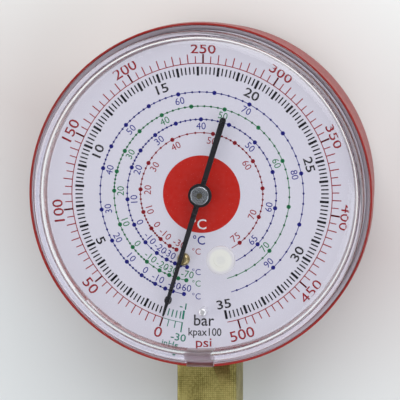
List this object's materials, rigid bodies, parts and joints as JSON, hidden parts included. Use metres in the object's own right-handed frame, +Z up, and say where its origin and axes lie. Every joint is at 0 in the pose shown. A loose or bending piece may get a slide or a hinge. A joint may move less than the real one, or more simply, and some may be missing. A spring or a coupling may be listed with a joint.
{
  "type": "refrigerant compound gauge",
  "caption": "Round refrigerant compound gauge with a bottom stem: steel case, clear clip-in lens, printed dial, pointer and a Bourdon tube movement.",
  "frame": {"origin": "on the stem's axis, at the shoulder above its thread", "axes": "+Z up from the stem to the dial, -Y out of the dial towards the reader, +X to the reader's right"},
  "size_m": [0.08, 0.0376, 0.104],
  "materials": {
    "case_paint": "gloss",
    "brass": "satin",
    "bronze": "satin",
    "steel": "satin",
    "silver": "satin",
    "dial_white": "satin",
    "pointer_black": "satin",
    "rubber": "matt",
    "clear_lens": "clear",
    "nylon": "translucent"
  },
  "bodies": {
    "case_body": {"case": "case_paint", "socket": "brass", "port_restrictor": "brass", "bourdon_tube": "bronze", "hairspring": "bronze", "hairspring_stud": "brass", "movement_bottom_plate": "brass", "movement_top_plate": "brass", "movement_pillars": "brass", "plate_screws": "steel", "movement_screws": "steel", "case_screws": "steel", "dial": "dial_white", "stop_pin": "silver", "gasket": "rubber"},
    "tube_end": {"tube_tip": "brass", "tip_screw": "steel"},
    "link_body": {"link": "steel"},
    "sector": {"sector_gear": "brass", "sector_arbor": "steel", "tail_pin": "steel"},
    "pointer_body": {"pinion": "brass", "hairspring_collet": "brass", "pointer": "pointer_black", "pointer_bushing": "silver"},
    "adjuster": {"calibration_screw": "brass"},
    "lens_body": {"lens": "clear_lens"},
    "plug_body": {"lens_plug": "nylon"}
  },
  "joints": [
    {"name": "pointer_turn", "type": "hinge", "parent": "case_body", "child": "pointer_body", "pos_m": [0, -0.0185, 0.054], "axis": [0, 1, 0], "range_deg": [-8.5, 331.5], "stiffness_Nm_per_rad": 0.004, "deforming": ["hairspring"]},
    {"name": "sector_swing", "type": "hinge", "parent": "case_body", "child": "sector", "pos_m": [0.00805, -0.0095, 0.0396], "axis": [0, 1, 0], "range_deg": [-33.16, 0.86]},
    {"name": "tip_flex", "type": "hinge", "parent": "case_body", "child": "tube_end", "pos_m": [-0.00417, -0.007, 0.06094], "axis": [0, 1, 0], "range_deg": [-8.02, 0.22], "deforming": ["bourdon_tube"]},
    {"name": "link_pivot", "type": "hinge", "parent": "tube_end", "child": "link_body", "pos_m": [0.01926, -0.0085, 0.04444], "axis": [0, 1, 0], "range_deg": [-0.19, 7.17]},
    {"name": "calibration_turn", "type": "hinge", "parent": "case_body", "child": "adjuster", "pos_m": [-0.0042, -0.016, 0.03877], "axis": [0, 1, 0], "range_deg": [-90, 90]},
    {"name": "lens_pull", "type": "slide", "parent": "case_body", "child": "lens_body", "axis": [0, -1, 0], "range_m": [0, 0.03]},
    {"name": "plug_pull", "type": "slide", "parent": "lens_body", "child": "plug_body", "axis": [0, -1, 0], "range_m": [0, 0.01]}
  ],
  "couplings": [
    {"joint": "sector_swing", "follows": "pointer_turn", "ratio": -0.1},
    {"joint": "tip_flex", "follows": "pointer_turn", "ratio": -0.02415},
    {"joint": "link_pivot", "follows": "pointer_turn", "ratio": 0.0216}
  ]
}
